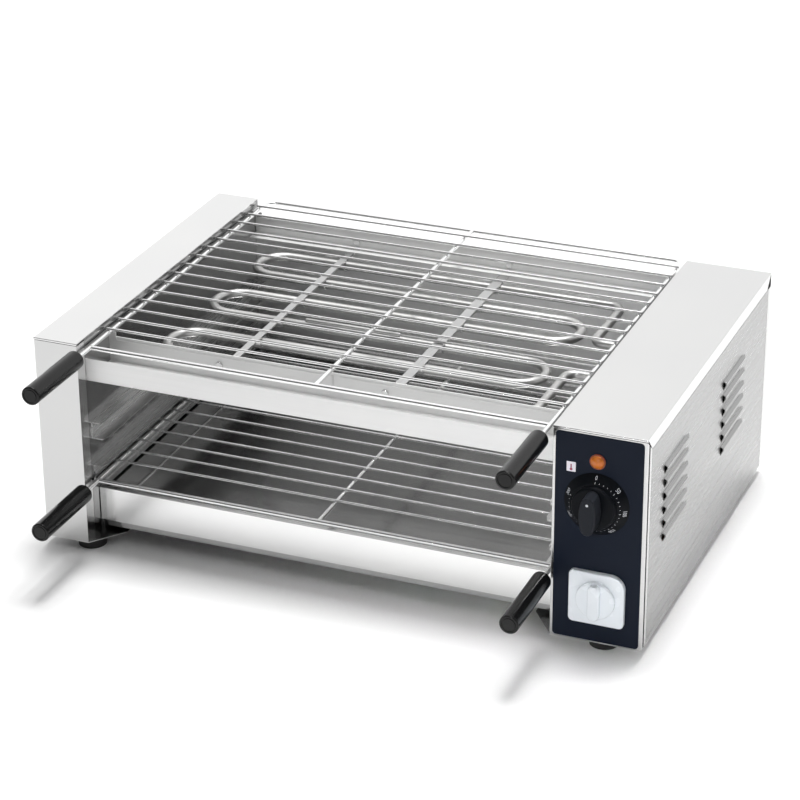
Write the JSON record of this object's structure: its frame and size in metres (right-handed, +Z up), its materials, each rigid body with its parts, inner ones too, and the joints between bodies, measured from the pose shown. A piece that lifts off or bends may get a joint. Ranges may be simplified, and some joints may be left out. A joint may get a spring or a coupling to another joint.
{
  "type": "electric skewer grill",
  "caption": "Countertop electric grill of folded stainless sheet with an open tube heater, two sliding wire racks with grips, a pull-out drip tray and a side control box.",
  "frame": {"origin": "on the worktop, under the middle of everything the grill reaches: its bounding box's bottom centre", "axes": "+X to the viewer's right along the front, +Y to the back, +Z up; the controls face -Y"},
  "size_m": [0.6632, 0.5684, 0.24],
  "materials": {
    "stainless_sheet": "fine satin brushed stainless steel",
    "stainless_bright": "satin steel tube",
    "rack_chrome": "bright chromed wire",
    "fastener_steel": "plated steel",
    "capillary_steel": "drawn steel tube",
    "grip_black": "glossy black moulded resin",
    "knob_black": "black moulded resin",
    "overlay_navy": "dark navy printed foil, satin",
    "selector_white": "white moulded plastic",
    "lens_orange": "translucent orange plastic",
    "device_black": "matt black plastic",
    "wire_insulation": "red silicone insulation",
    "ceramic": "cream ceramic",
    "foot_rubber": "black rubber"
  },
  "bodies": {
    "cabinet": {"cable_gland": "device_black", "control_back_cover": "stainless_sheet", "control_box_cover": "stainless_sheet", "control_box_wall": "stainless_sheet", "control_front_panel": "stainless_sheet", "control_overlay": "overlay_navy", "control_side_panel": "stainless_sheet", "earth_stud": "fastener_steel", "floor_panel": "stainless_sheet", "foot_screws": "fastener_steel", "front_beam": "stainless_sheet", "front_left_foot": "foot_rubber", "front_right_foot": "foot_rubber", "front_shelf_angle": "stainless_sheet", "gland_locknut": "device_black", "heater_clips": "stainless_sheet", "heater_glands": "stainless_bright", "heater_insulators": "ceramic", "heater_pins": "fastener_steel", "heater_strap_left": "stainless_sheet", "heater_strap_right": "stainless_sheet", "heating_element": "stainless_bright", "inner_wires": "wire_insulation", "lamp_body": "device_black", "lamp_lens": "lens_orange", "left_base_plate": "stainless_sheet", "left_box_cover": "stainless_sheet", "left_box_shell": "stainless_sheet", "left_box_wall": "stainless_sheet", "lower_rail_left": "stainless_sheet", "lower_rail_right": "stainless_sheet", "middle_rail_left": "stainless_sheet", "middle_rail_right": "stainless_sheet", "pan_head_screws": "fastener_steel", "panel_nuts": "fastener_steel", "rear_left_foot": "foot_rubber", "rear_panel": "stainless_sheet", "rear_right_foot": "foot_rubber", "rear_shelf_angle": "stainless_sheet", "right_base_plate": "stainless_sheet", "selector_plate": "selector_white", "selector_switch_body": "device_black", "terminal_block": "device_black", "thermostat_body": "device_black", "thermostat_bulb": "stainless_bright", "thermostat_capillary": "capillary_steel"},
    "upper_rack": {"upper_rack_frame": "rack_chrome", "upper_rack_wires": "rack_chrome", "upper_left_grip": "grip_black", "upper_right_grip": "grip_black"},
    "lower_rack": {"lower_rack_frame": "rack_chrome", "lower_rack_wires": "rack_chrome", "lower_left_grip": "grip_black", "lower_right_grip": "grip_black"},
    "drip_tray": {"drip_tray_pan": "stainless_sheet", "drip_tray_front": "stainless_sheet"},
    "thermostat_dial": {"thermostat_knob": "knob_black", "thermostat_shaft": "fastener_steel"},
    "selector": {"selector_knob": "selector_white", "selector_shaft": "fastener_steel"}
  },
  "joints": [
    {"name": "upper_rack_slide", "type": "slide", "parent": "cabinet", "child": "upper_rack", "axis": [0, -1, 0], "range_m": [0, 0.3]},
    {"name": "lower_rack_slide", "type": "slide", "parent": "cabinet", "child": "lower_rack", "axis": [0, -1, 0], "range_m": [0, 0.35]},
    {"name": "drip_tray_slide", "type": "slide", "parent": "cabinet", "child": "drip_tray", "axis": [0, -1, 0], "range_m": [0, 0.33]},
    {"name": "thermostat_turn", "type": "hinge", "parent": "cabinet", "child": "thermostat_dial", "pos_m": [0.2794, -0.17825, 0.164], "axis": [0, 1, 0], "range_deg": [0, 290]},
    {"name": "selector_turn", "type": "hinge", "parent": "cabinet", "child": "selector", "pos_m": [0.2824, -0.17825, 0.0615], "axis": [0, 1, 0], "range_deg": [0, 90]}
  ]
}
